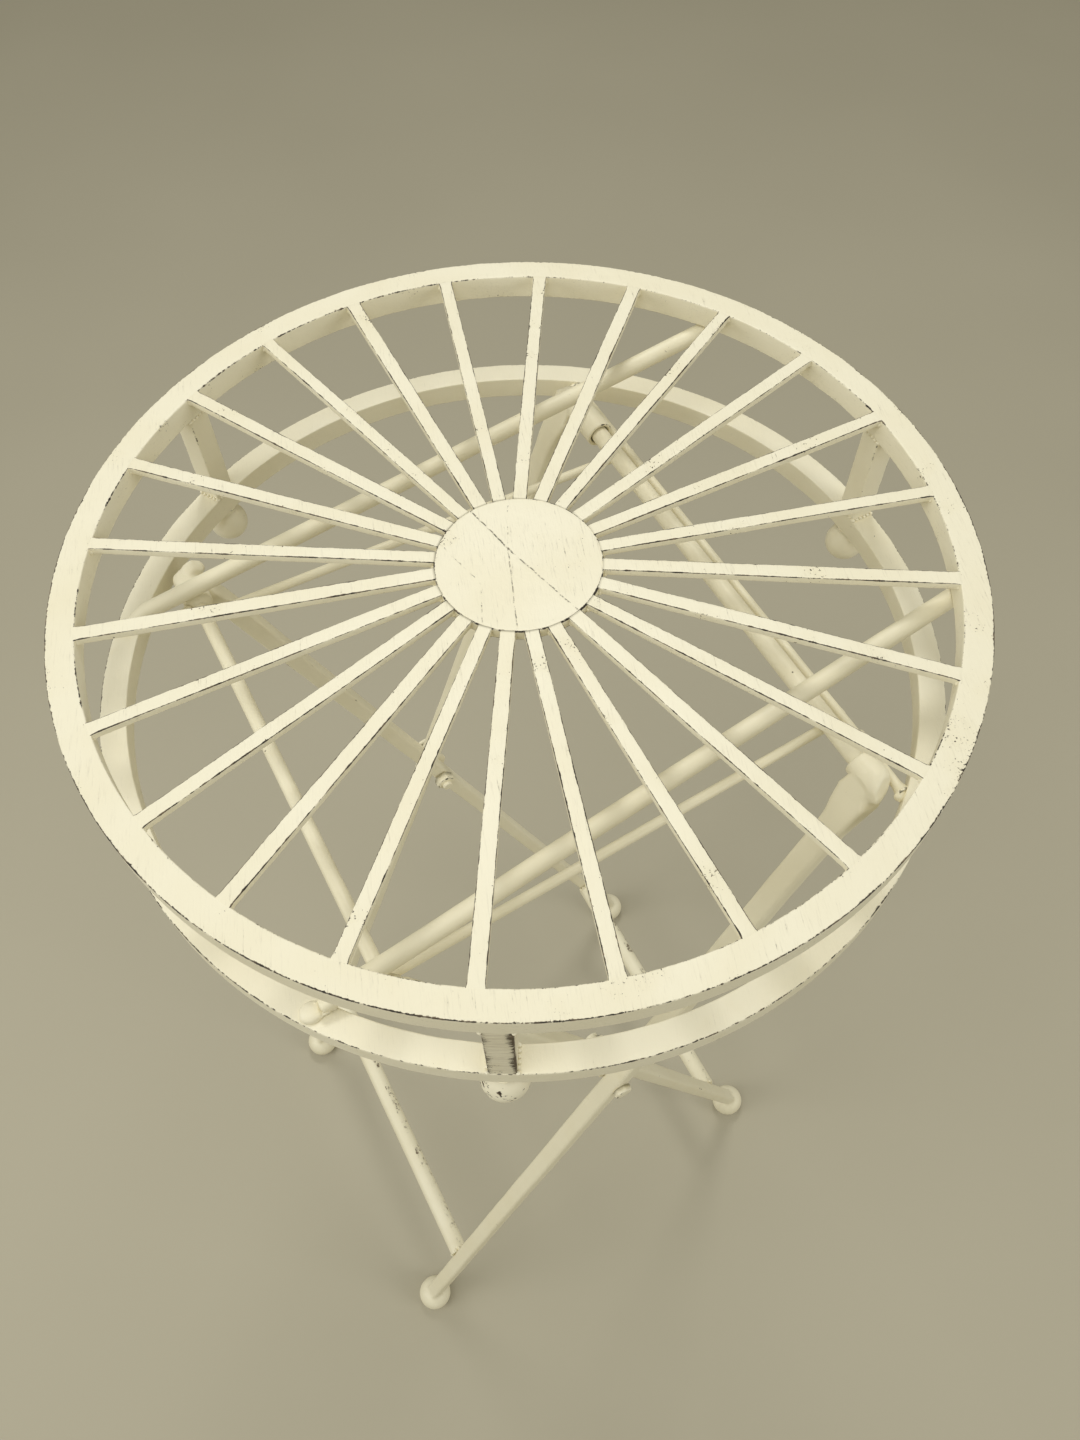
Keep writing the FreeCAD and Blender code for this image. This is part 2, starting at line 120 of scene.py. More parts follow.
BOLT_HEAD, BOLT_HEAD_RADIUS, BOLT_RADIUS = 3.6, 5.0, 3.0
NUT, NUT_RADIUS, NUT_GAP = 5.0, 5.8, 0.3
WASHER, WASHER_RADIUS = 2.0, 7.0


# Camera, floor and lamps

CAMERA_TURN = math.radians(-26.30)
CAMERA_YAW, CAMERA_DOWN, CAMERA_ROLL = 0.0251782, 1.02488, -0.018406
# From the top's centre, in rim radii, before the turn about Z
CAMERA_PLACE_IN_RIMS = Vector((0, -1.57024, 1.92933))
LENS, SENSOR = 28.667, 36.0

FLOOR_REACH = 30
FLOOR_SHADE, FLOOR_LIGHT = (0.432, 0.399, 0.297, 1), (0.489, 0.453, 0.342, 1)
FLOOR_CLOUD = 1000 / 2.2
WORLD_COLOUR, WORLD_STRENGTH = (1.0, 0.975, 0.85, 1), 0.39
LAMP_COLOUR = (0.985, 0.99, 1.0)
# Each lamp's name, place, aim, size and power
LAMPS = (("key", (-0.75, -0.25, 2.1), (0, 0, 0.45), 1.2, 9.3),
         ("left", (-1.8, 0.25, 1.15), (0, 0, 0.35), 1.2, 10.0),
         ("side", (1.15, -1.55, 1.3), (0, 0, 0.35), 1.1, 10.0),
         ("over", (0.35, 0.7, 2.2), (0, 0, 0.5), 0.45, 8.5))


def photo_camera():
    """The photograph's camera, fitted to the rings, posts and feet."""
    turn = Matrix.Rotation(CAMERA_TURN, 3, "Z")
    level = math.cos(CAMERA_DOWN)
    forward = Vector((math.sin(CAMERA_YAW) * level, math.cos(CAMERA_YAW) * level, -math.sin(CAMERA_DOWN)))
    right = Vector((math.cos(CAMERA_YAW), -math.sin(CAMERA_YAW), 0))
    up = right.cross(forward)
    cos, sin = math.cos(CAMERA_ROLL), math.sin(CAMERA_ROLL)
    right, up = right * cos + up * sin, up * cos - right * sin
    place = turn @ (CAMERA_PLACE_IN_RIMS * RIM) + Z * TOP
    axes = [turn @ v for v in (right, up, -forward)]
    data = bpy.data.cameras.new("camera")
    data.lens = LENS
    data.sensor_width = SENSOR
    data.clip_start, data.clip_end = 0.01, 100.0
    camera = bpy.data.objects.new("camera", data)
    bpy.context.scene.collection.objects.link(camera)
    camera.matrix_world = Matrix.Translation(place * MM) @ Matrix(axes).transposed().to_4x4()
    bpy.context.scene.camera = camera


def floor_and_lamps():
    scene = bpy.context.scene
    scene.view_settings.view_transform = "Standard"
    mesh = bpy.data.meshes.new("floor")
    sheet = [(x * FLOOR_REACH, y * FLOOR_REACH, 0) for x, y in ((-1, -1), (1, -1), (1, 1), (-1, 1))]
    mesh.from_pydata(sheet, [], [(0, 1, 2, 3)])
    mesh.materials.append(floor_material())
    floor = bpy.data.objects.new("floor", mesh)
    scene.collection.objects.link(floor)

    world = bpy.data.worlds.new("studio")
    scene.world = world
    world.use_nodes = True
    back = world.node_tree.nodes["Background"]
    back.inputs["Color"].default_value = WORLD_COLOUR
    back.inputs["Strength"].default_value = WORLD_STRENGTH
    for name, place, aim, size, power in LAMPS:
        data = bpy.data.lights.new(name, "AREA")
        data.shape = "DISK"
        data.size = size
        data.energy = power
        data.color = LAMP_COLOUR
        lamp = bpy.data.objects.new(name, data)
        scene.collection.objects.link(lamp)
        lamp.location = place
        lamp.rotation_euler = (Vector(aim) - Vector(place)).to_track_quat("-Z", "Y").to_euler()


# Paint

CREAM = (0.862, 0.811, 0.622, 1)
# A yellower, slightly darker copy of the cream: painted shade, the tint that the rods, legs and fasteners
# take in shade.
SHADE_TINTED_CREAM = (0.850, 0.795, 0.592, 1)
WARM = (0.795, 0.725, 0.500, 1)
HALO = tuple(0.6 * c for c in WARM[:3]) + (1,)
SCRATCH = (0.42, 0.375, 0.27, 1)
# A brown smear over the front post: brush marks, and painted shade that darkens its faces.
SMEAR_AND_PAINTED_SHADE = (0.45, 0.38, 0.25, 1)
DARK = (0.030, 0.022, 0.015, 1)
BROWN = (0.170, 0.125, 0.075, 1)
FRONT_POST_BARE = (0.085, 0.062, 0.034, 1)
LEG_BARE = (0.20, 0.155, 0.10, 1)
STROKE = math.radians(-20.0)

# The worn seams of the hub plate: start, end, width in millimetres and depth as a share
SEAMS = (((-4.0, 29.0), (0.1, 5.1), 0.30, 0.86), ((0.1, 5.1), (7.7, -27.1), 0.24, 0.62),
         ((8.8, 24.8), (-0.1, 7.9), 0.12, 0.45), ((-0.1, 7.9), (-13.8, -25.1), 0.18, 0.60),
         ((-20.3, 21.4), (-15.6, -1.9), 0.10, 0.50), ((-15.6, -1.9), (-23.5, -18.4), 0.10, 0.50))


class Graph:
    """Short names for the shader nodes of one material."""

    def __init__(self, name):
        self.material = bpy.data.materials.new(name)
        self.material.use_nodes = True
        self.tree = self.material.node_tree
        self.shader = self.tree.nodes["Principled BSDF"]
        self.place = self.tree.nodes.new("ShaderNodeTexCoord").outputs["Object"]

    def link(self, source, socket):
        """Give a socket a number, a colour or the output of another node."""
        if isinstance(source, (int, float, tuple)):
            socket.default_value = source
        else:
            self.tree.links.new(source, socket)

    def math(self, operation, a, b=0.0, clamp=False):
        node = self.tree.nodes.new("ShaderNodeMath")
        node.operation = operation
        node.use_clamp = clamp
        self.link(a, node.inputs[0])
        self.link(b, node.inputs[1])
        return node.outputs[0]

    def plus(self, a, b):
        return self.math("ADD", a, b)

    def minus(self, a, b):
        return self.math("SUBTRACT", a, b)

    def times(self, a, b, clamp=False):
        return self.math("MULTIPLY", a, b, clamp)

    def larger(self, a, b):
        return self.math("MAXIMUM", a, b)

    def step(self, value, low, high):
        """0 below low and 1 above high, with a soft rise between."""
        node = self.tree.nodes.new("ShaderNodeMapRange")
        node.interpolation_type = "SMOOTHSTEP"
        self.link(value, node.inputs["Value"])
        self.link(low, node.inputs["From Min"])
        self.link(high, node.inputs["From Max"])
        return node.outputs[0]

    def noise(self, wavelength, detail=2.0, rough=0.5, stretch=None, turn=0.0, shift=(0, 0, 0)):
        """Noise whose bumps are about a wavelength (mm) across, drawn out by stretch."""
        vector = self.place
        if stretch or any(shift):
            node = self.tree.nodes.new("ShaderNodeMapping")
            node.vector_type = "TEXTURE"
            node.inputs["Rotation"].default_value = (0, 0, turn)
            node.inputs["Scale"].default_value = stretch or (1, 1, 1)
            node.inputs["Location"].default_value = shift
            self.link(vector, node.inputs["Vector"])
            vector = node.outputs[0]
        node = self.tree.nodes.new("ShaderNodeTexNoise")
        node.inputs["Scale"].default_value = 1 / (wavelength * MM)
        node.inputs["Detail"].default_value = detail
        node.inputs["Roughness"].default_value = rough
        self.link(vector, node.inputs["Vector"])
        return node.outputs["Fac"]

    def mix(self, share, a, b):
        node = self.tree.nodes.new("ShaderNodeMixRGB")
        self.link(share, node.inputs[0])
        self.link(a, node.inputs[1])
        self.link(b, node.inputs[2])
        return node.outputs[0]

    def attribute(self, name):
        node = self.tree.nodes.new("ShaderNodeAttribute")
        node.attribute_name = name
        return node.outputs["Fac"]

    def axis(self, way):
        """The component of the object place along a direction, in millimetres."""
        node = self.tree.nodes.new("ShaderNodeVectorMath")
        node.operation = "DOT_PRODUCT"
        self.link(self.place, node.inputs[0])
        node.inputs[1].default_value = tuple(c / MM for c in way)
        return node.outputs["Value"]

    def bump(self, height, distance, strength, under=None):
        """A surface raised by height, up to a distance in millimetres, over another bump."""
        node = self.tree.nodes.new("ShaderNodeBump")
        node.inputs["Strength"].default_value = strength
        node.inputs["Distance"].default_value = distance * MM
        self.link(height, node.inputs["Height"])
        if under is not None:
            self.link(under, node.inputs["Normal"])
        return node.outputs[0]


def line_mask(g, start, end, width):
    """1 within a width of the wavering segment between two places on the top, else 0."""
    waver, soft = 0.9, 0.2
    run = Vector((end[0] - start[0], end[1] - start[1], 0))
    length = run.length
    run.normalize()
    side = Vector((-run.y, run.x, 0))
    wobble = g.times(g.minus(g.noise(4.0), 0.5), waver)
    along = g.minus(g.axis(run), run.x * start[0] + run.y * start[1])
    across = g.minus(g.axis(side), side.x * start[0] + side.y * start[1])
    across = g.math("ABSOLUTE", g.plus(across, wobble))
    beyond = g.larger(g.times(along, -1.0), g.minus(along, length))
    return g.minus(1.0, g.step(g.larger(across, beyond), width * 0.5, width * 0.5 + soft))


def edge_chips(g, wear, chips, grain, place, brushed_and_shaded, shift):
    """Where the paint has come off worn edges, and the thin paint around, both from 0 to 1."""
    cluster = g.noise(24.0, shift=(shift, 0.3, 0.2))
    spread = (7.0, 7.0, 1.0) if brushed_and_shaded else (1.0, 1.0, 1.0)
    line = g.noise(0.6 if brushed_and_shaded else grain, 6.0, 0.78, stretch=spread, shift=place)
    broken = g.minus(g.times(line, 1.6), 0.3)
    level = g.plus(g.times(cluster, 0.95), broken)
    level = g.plus(level, g.times(g.minus(wear, 1.0), 0.55 if brushed_and_shaded else 1.2))
    edge = 1.10 - 0.26 * chips
    on_edge = g.step(wear, 0.02, 0.30)
    chip = g.times(g.step(level, edge, edge + 0.05), on_edge)
    halo = g.times(g.step(level, edge - 0.14, edge + 0.04), on_edge)
    return chip, halo


def speck_mask(g, patch, wear, specks, size, worn, flat, shift):
    """Small dark pits over the faces, thicker where there is wear."""
    spot = g.noise(size, 3.0, 0.6, stretch=(flat, flat, 1.0), shift=(0.4, shift, 0.1))
    level = g.plus(g.plus(g.times(patch, 0.6), spot), g.times(wear, worn))
    edge = 1.13 - 0.16 * specks
    return g.step(level, edge, edge + 0.04)


def brush_marks(g, strokes, shift):
    """Hairlines of one brush direction: their height, the faint marks and the few deep ones."""
    hair = g.noise(0.7, 3.0, 0.70, stretch=(1.0, 13.0, 1.0), turn=STROKE)
    field = g.step(g.noise(21.0, 2.0, 0.6, shift=(0.2, 0.3, shift)), 0.36, 0.62)
    mark = g.times(g.step(hair, 0.52, 0.72), g.plus(g.times(field, 0.7), 0.3))
    deep = g.times(g.step(hair, 0.665, 0.70), g.step(field, 0.25, 0.9))
    deep = g.times(deep, g.step(g.noise(1.3, 3.0, 0.6), 0.47, 0.58))
    return hair, g.times(mark, 0.42 * strokes, clamp=True), g.times(deep, min(0.7, 0.8 * strokes))


def seam_mask(g, start, end, width, depth):
    """One seam, broken into dots where it is shallow."""
    dots = g.noise(2.2, 5.0, 0.75, shift=(0.1, 0.2, 0.3))
    seam = g.times(line_mask(g, start, end, width), g.step(dots, 0.62 - 0.26 * depth, 0.70 - 0.22 * depth))
    return g.times(seam, min(1.0, 0.35 + 0.6 * depth))


def paint(name, chips, specks, strokes=0.0, brushed_and_shaded=0.0, seams=(), tone=CREAM, shift=0.0, grain=2.4,
          speck_size=1.2, speck_wear=0.07, flat=1.0, bare=DARK):
    """Brushed cream paint over dark metal.

    chips, specks and strokes say how much of each there is, and brushed_and_shaded how much is smeared
    level, in a brown smear that is partly brush marks and partly painted shade.
    grain and speck_size are in millimetres, flat draws specks out level, and shift moves the noise.
    """
    g = Graph(name)
    place = (shift, shift * 0.7, 0)
    wear = g.attribute("wear")
    broad = g.noise(38.0, shift=place)
    patch = g.noise(15.0, 2.0, 0.55, shift=place)
    colour = g.mix(g.step(broad, 0.35, 0.72), tone, tuple(0.62 * a + 0.38 * b for a, b in zip(tone, WARM)))
    colour = g.mix(g.times(g.step(patch, 0.55, 0.8), 0.35), colour, WARM)

    chip, halo = edge_chips(g, wear, chips, grain, place, brushed_and_shaded, shift)
    chip = g.larger(chip, speck_mask(g, patch, wear, specks, speck_size, speck_wear, flat, shift))
    skin = g.bump(g.noise(5.0, 4.0, 0.6), 0.35, 0.5)
    if strokes:
        hair, mark, deep = brush_marks(g, strokes, shift)
        colour = g.mix(mark, colour, SCRATCH)
        chip = g.larger(chip, deep)
        skin = g.bump(hair, 0.12, 0.45, under=skin)
    if brushed_and_shaded:
        # A brown smear: brush marks, and painted shade laid over the whole front post.
        smear_and_shade = g.noise(0.9, 4.0, 0.65, stretch=(12.0, 12.0, 1.0))
        colour = g.mix(g.times(g.step(smear_and_shade, 0.30, 0.72), brushed_and_shaded, clamp=True), colour, SMEAR_AND_PAINTED_SHADE)
    for seam in seams:
        chip = g.larger(chip, seam_mask(g, *seam))

    colour = g.mix(g.times(halo, 0.5), colour, HALO)
    under = g.mix(g.step(g.noise(3.5, 3.0), 0.45, 0.7), bare, BROWN)
    g.link(g.mix(chip, colour, under), g.shader.inputs["Base Color"])
    rough = g.plus(g.plus(g.times(patch, 0.16), 0.38), g.times(chip, 0.24))
    g.link(rough, g.shader.inputs["Roughness"])
    g.shader.inputs["Specular IOR Level"].default_value = 0.42
    g.link(g.bump(g.minus(1.0, chip), 0.16, 0.8, under=skin), g.shader.inputs["Normal"])
    return g.material


def floor_material():
    """Plain matt paper in two close shades."""
    g = Graph("floor_paper")
    g.shader.inputs["Roughness"].default_value = 0.9
    g.shader.inputs["Specular IOR Level"].default_value = 0.2
    g.link(g.mix(g.noise(FLOOR_CLOUD), FLOOR_SHADE, FLOOR_LIGHT), g.shader.inputs["Base Color"])
    return g.material


# Forms

class Shape:
    """Points, faces and wear of one piece, gathered from several forms."""

    def __init__(self):
        self.points, self.faces, self.wear = [], [], []

    def add(self, points, faces, wear):
        base = len(self.points)
        self.points += points
        self.faces += [tuple(base + i for i in face) for face in faces]
        self.wear += wear
        return self

    def rings(self, points, wear, sides, closed=False):
        """Rings of points joined one to the next, and the last to the first or both capped."""
        count = len(points) // sides
        faces = []
        for i in range(count if closed else count - 1):
            a, b = i * sides, (i + 1) % count * sides
            for k in range(sides):
                m = (k + 1) % sides
                faces.append((a + k, a + m, b + m, b + k))
        if not closed:
            last = (count - 1) * sides
            faces.append(tuple(range(sides - 1, -1, -1)))
            faces.append(tuple(range(last, last + sides)))
        return self.add(points, faces, wear)

    def sweep(self, stations, closed=False):
        """A tube through stations of (centre, across, up, outline)."""
        points, wear = [], []
        for centre, across, up, outline in stations:
            for x, y, w in outline:
                points.append(centre + across * x + up * y)
                wear.append(w)
        return self.rings(points, wear, len(stations[0][3]), closed)

    def turn(self, centre, axis, side, profile, sides, closed=False):
        """A profile of (radius, height, wear) turned about an axis, starting at a side."""
        third = axis.cross(side)
        points, wear = [], []
        for radius, height, w in profile:
            for k in range(sides):
                a = 2 * math.pi * k / sides
                points.append(centre + (side * math.cos(a) + third * math.sin(a)) * radius + axis * height)
                wear.append(w)
        return self.rings(points, wear, sides, closed)

    def blob(self, centre, radii, way=Z, side=X, lump=0.25, seed=0.0, level=2):
        """A lumpy bead of weld or thick paint, with its third radius along a way."""
        bm = bmesh.new()
        bmesh.ops.create_icosphere(bm, subdivisions=level, radius=1.0)
        third = way.cross(side)
        points = []
        for v in bm.verts:
            grow = 1 - lump * (0.5 + 0.5 * noise.noise(v.co * 1.7 + Vector((seed, seed * 0.37, 3.1))))
            p = v.co * grow
            points.append(centre + side * p.x * radii[0] + third * p.y * radii[1] + way * p.z * radii[2])
        faces = [tuple(v.index for v in f.verts) for f in bm.faces]
        bm.free()
        return self.add(points, faces, [0.15] * len(points))

    def mesh(self, name):
        mesh = bpy.data.meshes.new(name)
        mesh.from_pydata([tuple(p * MM) for p in self.points], [], self.faces)
        bm = bmesh.new()
        bm.from_mesh(mesh)
        bmesh.ops.recalc_face_normals(bm, faces=bm.faces)
        bm.to_mesh(mesh)
        bm.free()
        return mesh

    def make(self, name, body, material, slot, replaces=(), rough=None, bore=None, worn=None):
        """Turn the shape into a piece.

        rough is the depth and the wavelength of an uneven skin. With worn, a wear for any place, the
        forms are melted into one skin, and the bore, of (start, end, radius), is cut in it.
        """
        piece = bpy.data.objects.new(name, self.mesh(name))
        bpy.context.scene.collection.objects.link(piece)
        wear = self.wear
        if worn:
            piece.data = one_skin(piece, *bore)
            wear = [worn(v.co / MM) for v in piece.data.vertices]
        mesh = piece.data
        if rough:
            roughen(mesh, *rough)
        mesh.attributes.new("wear", "FLOAT", "POINT").data.foreach_set("value", wear)
        mesh.shade_smooth()
        mesh.materials.append(material)
        mesh.update()
        if not worn:
            even = piece.modifiers.new("even_shading", "WEIGHTED_NORMAL")
            even.keep_sharp = True
        if replaces:
            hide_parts(*replaces)
        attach(piece, body)


def roughen(mesh, depth, wavelength):
    """Sink the skin unevenly by up to a depth, and keep it above the floor."""
    moved = []
    for v in mesh.vertices:
        p = v.co / MM
        ripple = noise.noise(p / wavelength) * 0.65 + noise.noise(p * 2.3 / wavelength) * 0.35
        p = p - v.normal * depth * min(1.0, max(0.0, 0.5 + 0.5 * ripple))
        moved += [p.x * MM, p.y * MM, max(p.z, 0.0) * MM]
    mesh.vertices.foreach_set("co", moved)


def one_skin(piece, start, end, radius):
    """One skin round all the forms of a piece, with its bore cut back open."""
    skin = piece.modifiers.new("skin", "REMESH")
    skin.mode = "VOXEL"
    skin.voxel_size = LEG_VOXEL * MM
    way = (end - start).normalized()
    side = way.orthogonal().normalized()
    tool = Shape().turn(start, way, side, [(radius, 0, 0), (radius, (end - start).length, 0)], 40)
    drill = bpy.data.meshes.new("bore")
    drill.from_pydata([tuple(p * MM) for p in tool.points], [], tool.faces)
    cutter = bpy.data.objects.new("bore", drill)
    bpy.context.scene.collection.objects.link(cutter)
    cut = piece.modifiers.new("bore", "BOOLEAN")
    cut.operation = "DIFFERENCE"
    cut.solver = "EXACT"
    cut.object = cutter
    soft = piece.modifiers.new("soft", "SMOOTH")
    soft.factor = 0.5
    soft.iterations = 3
    graph = bpy.context.evaluated_depsgraph_get()
    mesh = bpy.data.meshes.new_from_object(piece.evaluated_get(graph))
    piece.modifiers.clear()
    bpy.data.objects.remove(cutter)
    return mesh


def bar_outline(width, depth, radius, shoulder, steps=3, middle=(0.0, 0.0), weights=(1, 1, 1, 1)):
    """A rounded rectangle of (x, y, wear). weights gives the wear of its corners, round from ++."""
    corner_arcs = []
    for index, (sx, sy) in enumerate(((1, 1), (-1, 1), (-1, -1), (1, -1))):
        cx, cy = sx * (width / 2 - radius), sy * (depth / 2 - radius)
        angles = [math.radians(90 * index + 90 * k / steps) for k in range(steps + 1)]
        corner_arcs.append([(cx + radius * math.cos(a), cy + radius * math.sin(a)) for a in angles])
    outline = []
    for index, arc in enumerate(corner_arcs):
        for k, (x, y) in enumerate(arc):
            outline.append((x, y, weights[index] * (1.0 - 0.3 * abs(2 * k / steps - 1))))
        (ax, ay), (bx, by) = arc[-1], corner_arcs[(index + 1) % 4][0]
        run = math.hypot(bx - ax, by - ay)
        share = min(shoulder, run * 0.42) / run
        for s in (share, 1 - share):
            outline.append((ax + (bx - ax) * s, ay + (by - ay) * s, 0.0))
    return [(x + middle[0], y + middle[1], w) for x, y, w in outline]


def round_outline(radius, sides=20, wear=0.12):
    angles = [2 * math.pi * k / sides for k in range(sides)]
    return [(radius * math.cos(a), radius * math.sin(a), wear) for a in angles]


def rod_stations(start, end, radius, count, round_end, wear=0.12, wander=0.0, seed=0.0):
    """A round rod with softened ends and a slight wander off its line."""
    length = (end - start).length
    way = (end - start) / length
    across = way.orthogonal().normalized()
    if abs(way.y) > 0.9:
        across = (X - way * X.dot(way)).normalized()
    up = way.cross(across)
    places = [0.0, round_end * 0.3, round_end]
    places += [round_end + (length - 2 * round_end) * k / count for k in range(1, count)]
    places += [length - round_end, length - round_end * 0.3, length]
    stations = []
    for s in places:
        inset = max(0.0, 1 - min(s, length - s) / round_end)
        r = radius - round_end * 0.8 * (1 - math.sqrt(max(0.0, 1 - inset * inset)))
        bow = wander * noise.noise(Vector((s / 60.0, seed, 1.7)))
        stations.append((start + way * s + across * bow, across, up, round_outline(r, wear=wear)))
    return stations


# The drum's pieces

def ring(name, node, bottom, material, jagged, weights):
    """A ring of square bar with filed, slightly ragged corners.

    weights gives the wear of the outer top, inner top, inner bottom and outer bottom corner.
    """
    stations = []
    steps = 900
    short_nick, long_nick = 1.6, 7.0
    for k in range(steps):
        a = -2 * math.pi * k / steps
        out = Vector((math.cos(a), math.sin(a), 0))
        ragged = noise.noise(out * RIM / short_nick + Z * bottom) * 0.6
        ragged += noise.noise(out * RIM / long_nick + Z * bottom) * 0.7
        radius = 0.55 + jagged * max(-0.8, min(1.0, ragged))
        stations.append((out * RING_MIDDLE + Z * (bottom + BAR / 2), out, Z,
                         bar_outline(BAR, BAR, radius, 1.6, weights=weights)))
    Shape().sweep(stations, closed=True).make(name, "drum", material, "top_paint", (node,), (0.16, 24.0))


def hub(material):
    """The flat hub plate, with its edges filed round."""
    edge = ((1.2, 0, 0), (0.4, 0.03, 1), (0.1, 0.2, 1), (0, 0.5, 1), (0, 1.3, 0.2), (0, 3.6, 0.2),
            (0, 4.4, 1), (0.3, 4.9, 1), (0.8, 5, 1), (2.4, 5, 0))
    profile = [(radius, TOP, 0) for radius in (0.5, 12, 20, 25.5)]
    profile += [(HUB - inset, TOP - drop, wear) for inset, drop, wear in edge]
    profile.append((0.5, HUB_BOTTOM, 0))
    Shape().turn(Vector(), Z, X, profile, 120).make(
        "hub_plate", "drum", material, "top_paint", ("hub_disc",), (0.14, 13.0))


def spoke_line(index):
    """A spoke's direction, and how far from the spokes' centre it starts and ends."""
    into_hub, into_ring = 0.5, 0.45
    a = math.radians(SPOKE_TURN + 360 / SPOKES * index)
    way = Vector((math.cos(a), math.sin(a), 0))
    along = way.dot(SPOKE_CENTRE)
    off = SPOKE_CENTRE.dot(SPOKE_CENTRE) - along * along
    ends = (HUB - into_hub, RING_INNER + into_ring)
    near, far = (math.sqrt(reach * reach - off) - along for reach in ends)
    return way, near, far


def spokes(materials):
    """The flat spokes, each spreading a little where it runs into the rim's inner wall."""
    steps = 120
    root_length, root_spread = 3.6, 1.3
    sunk_length, sunk_depth = 0.9, 0.3
    for index in range(SPOKES):
        way, near, far = spoke_line(index)
        far += sunk_length
        side = Vector((-way.y, way.x, 0))
        spread = 1 + 0.05 * math.sin(index * 2.4)
        stations = []
        for k in range(steps + 1):
            s = near + (far - near) * k / steps
            seed = Vector((s / 34.0, index * 3.7, 0.4))
            root = max(0.0, 1 - (far - s) / root_length)
            width = SPOKE_WIDTH * spread * (1 + 0.04 * noise.noise(seed)) + root_spread * root * root
            sink = sunk_depth * max(0.0, 1 - (far - s) / sunk_length)
            off = 0.16 * noise.noise(seed + Vector((0, 0, 5)))
            radius = 0.34 + 0.16 * noise.noise(Vector((s / 2.2, index * 5.1, 2.0)))
            centre = SPOKE_CENTRE + way * s + side * off + Z * (TOP - SPOKE_DEPTH / 2 - sink)
            outline = bar_outline(width, SPOKE_DEPTH, radius, 0.8, 2, weights=(1.08, 1.08, 0.6, 0.6))
            stations.append((centre, side, Z, outline))
        number = "%02d" % (index + 1)
        Shape().sweep(stations).make("spoke_bar_" + number, "drum", materials[index % len(materials)],
                                     "top_paint", ("spoke_" + number,), (0.08, 9.0))


def top_welds(material):
    """Weld fillets under the top face where the spokes meet the rim and the hub."""
    shape = Shape()
    for index in range(SPOKES):
        way, near, far = spoke_line(index)
        side = Vector((-way.y, way.x, 0))
        at_rim, at_hub = SPOKE_CENTRE + way * (far - 0.5), SPOKE_CENTRE + way * (near + 0.8)
        for sign in (1, -1):
            seed = index * 2.3 + sign
            shape.blob(at_rim + side * sign * 2.4 + Z * (TOP - 2.4), (0.9, 0.9, 1.3), Z, way, 0.35, seed)
            shape.blob(at_hub + side * sign * 2.2 + Z * (TOP - 3.0), (1.1, 0.8, 1.2), Z, way, 0.35, seed + 9)
        shape.blob(at_rim + Z * (TOP - 3.1), (1.2, 2.4, 0.8), Z, way, 0.35, index * 1.9)
    shape.make("spoke_weld_beads", "drum", material, "top_paint")


def post_bar(name, angle, foot, out, side, material, shoulder, weights):
    """A short square post, let a little into both rings."""
    steps, sunk = 48, 1.2
    stations = []
    for k in range(steps + 1):
        z = LOWER_TOP - sunk + (UPPER_BOTTOM - LOWER_TOP + 2 * sunk) * k / steps
        radius = 0.75 + 0.3 * noise.noise(Vector((z / 1.7, angle, 0.5)))
        outline = bar_outline(POST, POST, radius, shoulder, weights=weights)
        stations.append((foot + Z * z, out, side, outline))
    Shape().sweep(stations).make("post_bar_" + name, "drum", material, "top_paint",
                                 ("post_" + name,), (0.15, 12.0))


def ball_drop(shape, foot, out, ball, spotted, seed):
    """A ball on a short neck under the lower ring, with a drip of paint at its bottom."""
    centre = LOWER_BOTTOM - BALL_NECK - ball
    neck = ((5.3, 0.3, 0.2), (5.0, -0.5, 0.3), (4.75, -1.4, 0.3))
    profile = [(radius, LOWER_BOTTOM + z, wear) for radius, z, wear in neck]
    for k in range(3, 17):
        t = math.radians(180 * k / 16)
        profile.append((max(ball * math.sin(t), 0.4), centre + ball * math.cos(t), spotted))
    shape.turn(foot, Z, out, profile, 40)
    shape.blob(foot + Z * (centre - ball + 0.4) + out * 0.6, (1.6, 1.7, 0.9), Z, out, 0.3, seed)


def post_welds(shape, foot, out, side, angle):
    """Beads along two sides and the inner wall of a post, at both ends."""
    half = 4.4
    for z, tall in ((LOWER_TOP, 1), (UPPER_BOTTOM, -1)):
        for k in range(12):
            t = -half + 2 * half * (k % 6) / 5
            way = side if k < 6 else -side
            shape.blob(foot + way * 4.9 + out * t + Z * (z + 0.35 * tall), (1.0, 1.0, 0.9),
                       Z, out, 0.4, k + angle)
            shape.blob(foot - out * 4.75 + side * t + Z * (z + 0.3 * tall), (0.9, 1.0, 0.8),
                       Z, out, 0.4, k + angle)


def posts(material, front_material, ball_material):
    """The three posts and the balls under them. The front post is the most worn, and its paint carries a
    brown smear that is partly painted shade.
    """
    balls, welds = Shape(), Shape()
    for name, angle in POST_ANGLES.items():
        a = math.radians(angle)
        out = Vector((math.cos(a), math.sin(a), 0))
        side = Vector((-out.y, out.x, 0))
        foot = out * RING_MIDDLE
        if name == FRONT_POST:
            post_bar(name, angle, foot, out, side, front_material, 3.2, (1.25, 0.5, 0.3, 0.95))
            ball_drop(balls, foot, out, FRONT_BALL, 0.45, angle)
        else:
            post_bar(name, angle, foot, out, side, material, 1.6, (1, 1, 1, 1))
            ball_drop(balls, foot, out, BALL, 0.05, angle)
        post_welds(welds, foot, out, side, angle)
    balls.make("post_ball_drops", "drum", ball_material, "top_paint", ("post_balls",), (0.22, 5.0))
    welds.make("post_weld_beads", "drum", material, "top_paint")


